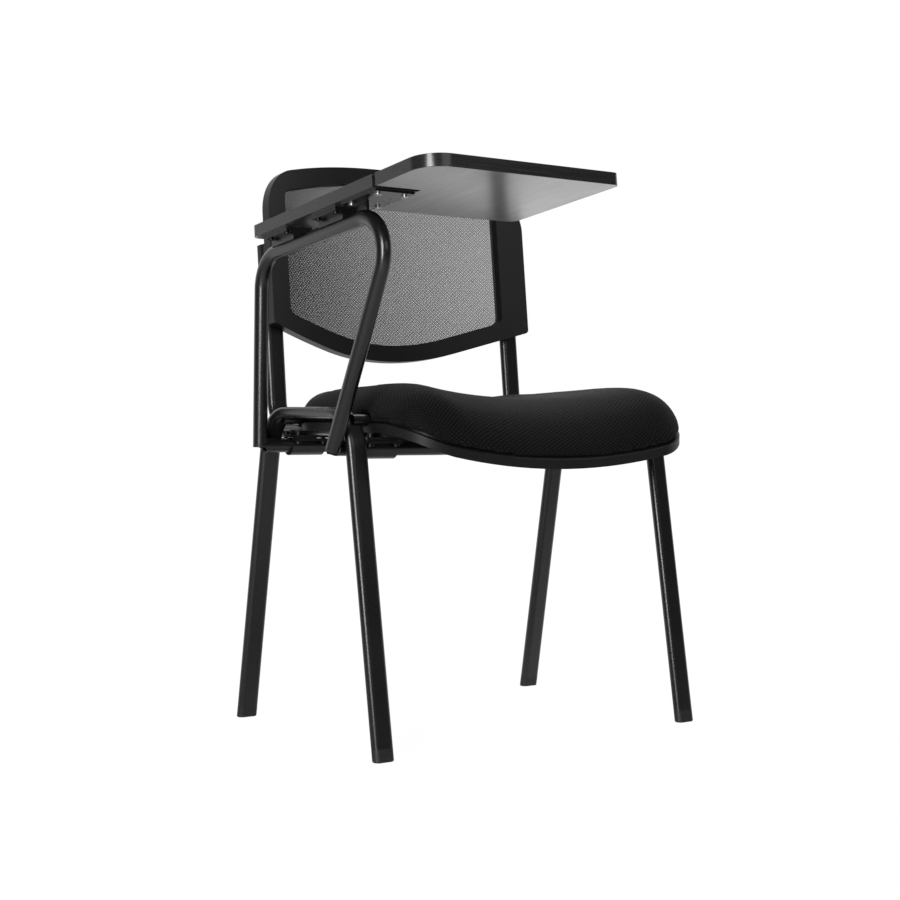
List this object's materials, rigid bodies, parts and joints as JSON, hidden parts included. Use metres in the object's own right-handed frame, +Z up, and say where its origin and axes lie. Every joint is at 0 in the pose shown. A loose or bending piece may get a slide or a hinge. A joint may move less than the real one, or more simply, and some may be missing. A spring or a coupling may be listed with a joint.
{
  "type": "tablet arm chair",
  "caption": "Stacking training chair with steel tube legs, mesh back, upholstered seat and a folding writing tablet on a tube arm.",
  "frame": {"origin": "bottom centre of the chair's box, on the floor", "axes": "+Z up, the sitter faces -Y, the tablet arm is on -X"},
  "size_m": [0.5874, 0.6204, 0.8222],
  "materials": {
    "frame_steel": "satin black powder coat",
    "moulded_plastic": "fine-grained black plastic",
    "foot_plastic": "matt black plastic",
    "back_mesh": "open black knit",
    "seat_fabric": "black spacer knit",
    "plywood": "raw moulded plywood",
    "zinc_steel": "bright zinc plate",
    "laminate": "black laminate with a faint grain",
    "edge_band": "dark grey plastic edging",
    "hinge_steel": "nickel plate",
    "black_steel": "blackened screws"
  },
  "bodies": {
    "chair": {"arm_base_tube": "frame_steel", "arm_plugs": "foot_plastic", "arm_tube": "frame_steel", "armrest_board": "laminate", "armrest_edge_band": "edge_band", "back_frame_front": "moulded_plastic", "back_frame_rear": "moulded_plastic", "back_frame_screws": "black_steel", "back_mesh": "back_mesh", "back_upright_left": "frame_steel", "back_upright_right": "frame_steel", "back_upright_screws": "black_steel", "base_clamp_bolts": "black_steel", "base_clamp_nuts": "black_steel", "base_clamp_plate_front": "frame_steel", "base_clamp_plate_rear": "frame_steel", "base_clamp_strap_front": "frame_steel", "base_clamp_strap_rear": "frame_steel", "foot_cap_front_left": "foot_plastic", "foot_cap_front_right": "foot_plastic", "foot_cap_rear_left": "foot_plastic", "foot_cap_rear_right": "foot_plastic", "front_cross_tube": "frame_steel", "hinge_leaf_fixed_front": "hinge_steel", "hinge_leaf_fixed_rear": "hinge_steel", "hinge_pin_front": "hinge_steel", "hinge_pin_rear": "hinge_steel", "hinge_screws_fixed": "zinc_steel", "leg_frame_left": "frame_steel", "leg_frame_right": "frame_steel", "rear_cross_tube": "frame_steel", "rest_plate": "frame_steel", "rest_plate_screws": "zinc_steel", "rest_plate_web": "frame_steel", "saddle_front": "frame_steel", "saddle_rear": "frame_steel", "saddle_screws": "black_steel", "seat_board": "plywood", "seat_bolts": "black_steel", "seat_cushion": "seat_fabric", "seat_pan": "moulded_plastic", "seat_t_nuts": "zinc_steel", "upright_plug_left": "foot_plastic", "upright_plug_right": "foot_plastic"},
    "tablet": {"hinge_leaf_panel_front": "hinge_steel", "hinge_leaf_panel_rear": "hinge_steel", "hinge_screws_panel": "zinc_steel", "writing_panel": "laminate", "writing_panel_edge_band": "edge_band"}
  },
  "joints": [
    {"name": "tablet_fold", "type": "hinge", "parent": "chair", "child": "tablet", "pos_m": [-0.22875, -0.13747, 0.72684], "axis": [0, -0.9933, 0.116], "range_deg": [0, 180]}
  ]
}
